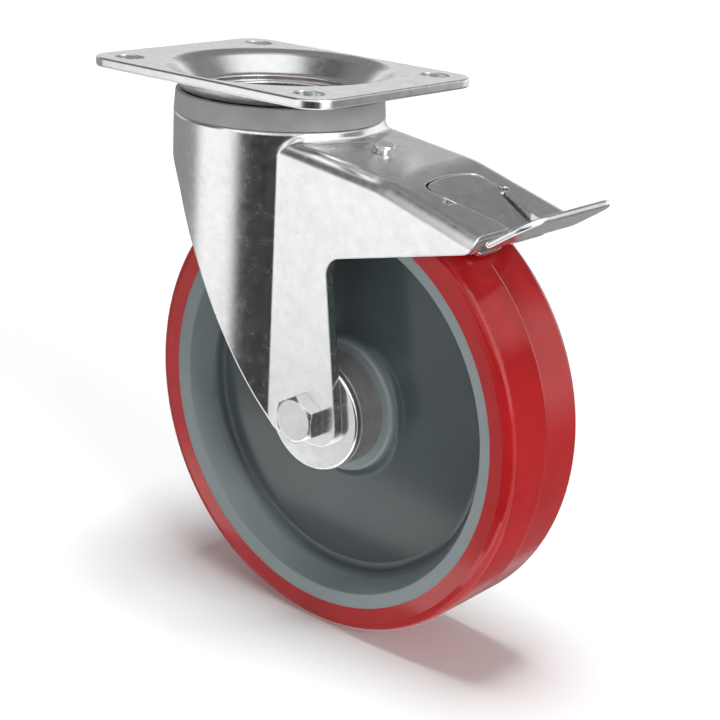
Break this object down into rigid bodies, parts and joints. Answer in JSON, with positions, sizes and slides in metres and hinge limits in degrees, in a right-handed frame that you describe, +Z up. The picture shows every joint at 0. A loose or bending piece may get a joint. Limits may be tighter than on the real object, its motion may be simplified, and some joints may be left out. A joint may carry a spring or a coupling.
{
  "type": "swivel castor",
  "caption": "Swivel castor: a slotted plate over a ball-bearing swivel head, a pressed steel fork with a foot brake, and a wheel with a cast tread on ball bearings",
  "frame": {"origin": "centre of the plate's top face, on the swivel axis", "axes": "+Z up out of the plate along the swivel axis; +X to the side where the wheel trails and the pedal points; +Y to the side of the axle nut, -Y to the side of the bolt's head"},
  "size_m": [0.2233, 0.105, 0.238],
  "materials": {
    "zinc_steel": "bright zinc plating",
    "bearing_steel": "ground",
    "spring_steel": "zinc plated",
    "bare_steel": "bare, dull",
    "seal_plastic": "matt",
    "wheel_plastic": "satin",
    "tyre": "smooth cast polyurethane"
  },
  "bodies": {
    "mount_plate": {"top_plate": "zinc_steel", "race_ring": "bearing_steel"},
    "swivel_balls": {"upper_balls": "bearing_steel", "lower_balls": "bearing_steel"},
    "fork_frame": {"fork": "zinc_steel", "seal_ring": "seal_plastic", "spring_rivet": "zinc_steel", "pivot_pin": "zinc_steel", "pivot_spacers": "zinc_steel", "axle_bolt": "zinc_steel", "axle_nut": "zinc_steel", "cover_disc_near": "zinc_steel", "cover_disc_far": "zinc_steel", "axle_tube": "bare_steel", "spacer_sleeve": "bare_steel", "bearing_inner_near": "bearing_steel", "bearing_inner_far": "bearing_steel"},
    "wheel": {"wheel_centre": "wheel_plastic", "tyre": "tyre", "hub_tube": "bare_steel", "bearing_outer_near": "bearing_steel", "bearing_outer_far": "bearing_steel"},
    "wheel_balls": {"bearing_balls_near": "bearing_steel", "bearing_balls_far": "bearing_steel"},
    "pedal": {"brake_pedal": "zinc_steel", "brake_roller": "bearing_steel"},
    "spring_leaf": {"leaf_spring": "spring_steel"}
  },
  "joints": [
    {"name": "swivel", "type": "hinge", "parent": "mount_plate", "child": "fork_frame", "pos_m": [0, 0, 0], "axis": [0, 0, 1], "continuous": true},
    {"name": "swivel_ball_orbit", "type": "hinge", "parent": "mount_plate", "child": "swivel_balls", "pos_m": [0, 0, 0], "axis": [0, 0, 1], "continuous": true},
    {"name": "wheel_roll", "type": "hinge", "parent": "fork_frame", "child": "wheel", "pos_m": [0.052, 0, -0.138], "axis": [0, 1, 0], "continuous": true},
    {"name": "wheel_ball_orbit", "type": "hinge", "parent": "fork_frame", "child": "wheel_balls", "pos_m": [0.052, 0, -0.138], "axis": [0, 1, 0], "continuous": true},
    {"name": "pedal_press", "type": "hinge", "parent": "fork_frame", "child": "pedal", "pos_m": [0.10769, 0, -0.04652], "axis": [0, 1, 0], "range_deg": [0, 12.3]},
    {"name": "spring_bend", "type": "hinge", "parent": "fork_frame", "child": "spring_leaf", "pos_m": [0.052, 0, -0.031], "axis": [0, 1, 0], "range_deg": [0, 1.7]}
  ],
  "couplings": [
    {"joint": "swivel_ball_orbit", "follows": "swivel", "ratio": 0.5},
    {"joint": "wheel_ball_orbit", "follows": "wheel_roll", "ratio": 0.618},
    {"joint": "spring_bend", "follows": "pedal_press", "ratio": 0.135}
  ]
}
